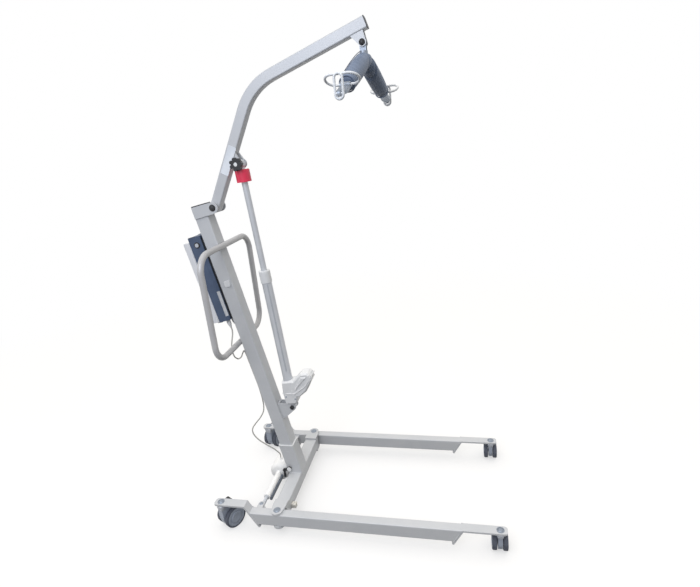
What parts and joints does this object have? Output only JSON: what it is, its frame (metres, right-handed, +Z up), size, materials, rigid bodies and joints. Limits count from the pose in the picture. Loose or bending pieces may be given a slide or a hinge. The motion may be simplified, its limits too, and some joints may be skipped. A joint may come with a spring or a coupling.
{
  "type": "mobile patient hoist",
  "caption": "Mobile hoist on casters: opening legs carry a leaning mast, push handle and control box, and an actuator lifts a bent boom with a padded spreader bar.",
  "frame": {"origin": "on the floor, midway between the two leg pivots, under the foot of the mast", "axes": "+X to the front of the legs, +Y to the far leg, +Z up"},
  "size_m": [1.2985, 0.6835, 2.0036],
  "materials": {
    "silver_paint": "satin",
    "dark_paint": "satin",
    "steel": "brushed",
    "chrome": "polished",
    "black_plastic": "matte",
    "white_plastic": "gloss",
    "blue_plastic": "matte",
    "pale_plastic": "matte",
    "red_plastic": "gloss",
    "caster_plastic": "satin",
    "tyre": "matte",
    "pad_cloth": "woven",
    "white_coat": "gloss",
    "circuit_board": "matte",
    "cell_metal": "satin",
    "cable_jacket": "matte"
  },
  "bodies": {
    "base": {"cross_member": "silver_paint", "mast_socket": "silver_paint", "mast": "silver_paint", "mast_top_cap": "black_plastic", "mast_side_caps": "white_plastic", "head_bracket": "silver_paint", "boom_pivot_pin": "black_plastic", "push_handle": "silver_paint", "lift_bracket": "silver_paint", "lift_bracket_pins": "black_plastic", "control_bracket": "black_plastic", "control_housing": "blue_plastic", "control_board": "circuit_board", "lead_plugs": "white_plastic", "leg_motor_cable": "cable_jacket"},
    "lock_lever": {"mast_lock_lever": "black_plastic"},
    "battery": {"battery_case": "pale_plastic", "battery_cells": "cell_metal"},
    "release_button": {"battery_release": "white_plastic"},
    "near_leg": {"near_leg_tube": "silver_paint", "near_leg_plates": "silver_paint", "near_leg_bolts": "chrome"},
    "far_leg": {"far_leg_tube": "silver_paint", "far_leg_plates": "silver_paint", "far_leg_bolts": "chrome"},
    "boom": {"boom_tube": "silver_paint", "boom_ears": "silver_paint", "boom_end_cap": "black_plastic", "hanger_pin": "black_plastic"},
    "star_knob": {"star_knob": "black_plastic"},
    "lift_rod": {"lift_rod": "steel"},
    "lowering_collar": {"lowering_collar": "red_plastic"},
    "lift_actuator": {"lift_cylinder": "white_coat", "guide_ring": "white_plastic", "gear_housing": "white_plastic", "lift_motor": "steel", "lift_spindle": "steel"},
    "leg_actuator": {"leg_actuator_body": "white_plastic", "guide_bar": "dark_paint"},
    "leg_rod": {"leg_actuator_rod": "chrome"},
    "hanger": {"hanger_link": "steel"},
    "spreader": {"spreader_bar": "steel", "spreader_pad": "pad_cloth", "sling_loops": "white_coat"},
    "near_gate": {"near_hook_gate": "white_coat"},
    "far_gate": {"far_hook_gate": "white_coat"},
    "near_front_swivel": {"near_front_caster": "caster_plastic"},
    "near_front_wheels": {"near_front_hubs": "caster_plastic", "near_front_tyres": "tyre"},
    "near_rear_swivel": {"near_rear_caster": "caster_plastic"},
    "near_rear_wheels": {"near_rear_hubs": "caster_plastic", "near_rear_tyres": "tyre"},
    "near_rear_pedal": {"near_rear_brake": "black_plastic"},
    "far_front_swivel": {"far_front_caster": "caster_plastic"},
    "far_front_wheels": {"far_front_hubs": "caster_plastic", "far_front_tyres": "tyre"},
    "far_rear_swivel": {"far_rear_caster": "caster_plastic"},
    "far_rear_wheels": {"far_rear_hubs": "caster_plastic", "far_rear_tyres": "tyre"},
    "far_rear_pedal": {"far_rear_brake": "black_plastic"}
  },
  "joints": [
    {"name": "boom_lift", "type": "hinge", "parent": "base", "child": "boom", "pos_m": [-0.17451, 0, 1.39734], "axis": [0, 1, 0], "range_deg": [0, 80]},
    {"name": "rod_pivot", "type": "hinge", "parent": "boom", "child": "lift_rod", "pos_m": [-0.03893, 0, 1.5577], "axis": [0, 1, 0], "range_deg": [-77.97, 0]},
    {"name": "lift_stroke", "type": "slide", "parent": "lift_rod", "child": "lift_actuator", "axis": [-0.062, 0, 0.9981], "range_m": [0, 0.26786]},
    {"name": "lowering_turn", "type": "hinge", "parent": "lift_rod", "child": "lowering_collar", "pos_m": [-0.03893, 0, 1.5577], "axis": [-0.062, 0, 0.9981], "range_deg": [0, 90]},
    {"name": "knob_turn", "type": "hinge", "parent": "boom", "child": "star_knob", "pos_m": [-0.03893, 0, 1.5577], "axis": [0, 1, 0], "continuous": true},
    {"name": "hanger_swing", "type": "hinge", "parent": "boom", "child": "hanger", "pos_m": [0.48221, 0, 1.92278], "axis": [0, 1, 0], "range_deg": [-80.01, 0]},
    {"name": "spreader_turn", "type": "hinge", "parent": "hanger", "child": "spreader", "pos_m": [0.48221, 0, 1.87428], "axis": [0, 0, 1], "continuous": true},
    {"name": "near_gate_swing", "type": "hinge", "parent": "spreader", "child": "near_gate", "pos_m": [0.4478, -0.28018, 1.74761], "axis": [0.9925, -0.1219, 0], "range_deg": [0, 30]},
    {"name": "far_gate_swing", "type": "hinge", "parent": "spreader", "child": "far_gate", "pos_m": [0.51661, 0.28018, 1.74761], "axis": [-0.9925, 0.1219, 0], "range_deg": [0, 30]},
    {"name": "near_leg_open", "type": "hinge", "parent": "base", "child": "near_leg", "pos_m": [0, -0.281, 0.081], "axis": [0, 0, -1], "range_deg": [0, 13]},
    {"name": "far_leg_open", "type": "hinge", "parent": "base", "child": "far_leg", "pos_m": [0, 0.281, 0.081], "axis": [0, 0, 1], "range_deg": [0, 13]},
    {"name": "leg_actuator_shift", "type": "slide", "parent": "base", "child": "leg_actuator", "axis": [0.5561, -0.8311, 0], "range_m": [0, 0.02421]},
    {"name": "leg_rod_stroke", "type": "slide", "parent": "leg_actuator", "child": "leg_rod", "axis": [0, 1, 0], "range_m": [0, 0.04023]},
    {"name": "near_front_swivel", "type": "hinge", "parent": "near_leg", "child": "near_front_swivel", "pos_m": [0.933, -0.281, 0.088], "axis": [0, 0, 1], "continuous": true},
    {"name": "near_front_roll", "type": "hinge", "parent": "near_front_swivel", "child": "near_front_wheels", "pos_m": [0.933, -0.259, 0.0375], "axis": [-1, 0, 0], "continuous": true},
    {"name": "near_rear_swivel", "type": "hinge", "parent": "near_leg", "child": "near_rear_swivel", "pos_m": [-0.259, -0.281, 0.121], "axis": [0, 0, 1], "continuous": true},
    {"name": "near_rear_roll", "type": "hinge", "parent": "near_rear_swivel", "child": "near_rear_wheels", "pos_m": [-0.2421, -0.24921, 0.05], "axis": [-0.8829, 0.4695, 0], "continuous": true},
    {"name": "near_rear_brake_press", "type": "hinge", "parent": "near_rear_swivel", "child": "near_rear_pedal", "pos_m": [-0.24773, -0.25981, 0.1202], "axis": [-0.8829, 0.4695, 0], "range_deg": [0, 12]},
    {"name": "far_front_swivel", "type": "hinge", "parent": "far_leg", "child": "far_front_swivel", "pos_m": [0.933, 0.281, 0.088], "axis": [0, 0, 1], "continuous": true},
    {"name": "far_front_roll", "type": "hinge", "parent": "far_front_swivel", "child": "far_front_wheels", "pos_m": [0.933, 0.303, 0.0375], "axis": [-1, 0, 0], "continuous": true},
    {"name": "far_rear_swivel", "type": "hinge", "parent": "far_leg", "child": "far_rear_swivel", "pos_m": [-0.259, 0.281, 0.121], "axis": [0, 0, 1], "continuous": true},
    {"name": "far_rear_roll", "type": "hinge", "parent": "far_rear_swivel", "child": "far_rear_wheels", "pos_m": [-0.24968, 0.31577, 0.05], "axis": [-0.9659, 0.2588, 0], "continuous": true},
    {"name": "far_rear_brake_press", "type": "hinge", "parent": "far_rear_swivel", "child": "far_rear_pedal", "pos_m": [-0.25279, 0.30418, 0.1202], "axis": [-0.9659, 0.2588, 0], "range_deg": [0, 12]},
    {"name": "lever_turn", "type": "hinge", "parent": "base", "child": "lock_lever", "pos_m": [-0.02358, -0.04, 0.13964], "axis": [0, 1, 0], "range_deg": [0, 60]},
    {"name": "battery_lift", "type": "slide", "parent": "base", "child": "battery", "axis": [-0.184, 0, 0.9829], "range_m": [0, 0.03]},
    {"name": "release_press", "type": "slide", "parent": "base", "child": "release_button", "axis": [0, 1, 0], "range_m": [0, 0.003], "stiffness_N_per_m": 300}
  ],
  "couplings": [
    {"joint": "rod_pivot", "follows": "boom_lift", "ratio": -0.9745},
    {"joint": "lift_stroke", "follows": "boom_lift", "m_per_rad": 0.19183},
    {"joint": "hanger_swing", "follows": "boom_lift", "ratio": -1},
    {"joint": "far_leg_open", "follows": "near_leg_open", "ratio": 1},
    {"joint": "leg_actuator_shift", "follows": "near_leg_open", "m_per_rad": 0.10666},
    {"joint": "leg_rod_stroke", "follows": "near_leg_open", "m_per_rad": 0.1773}
  ]
}
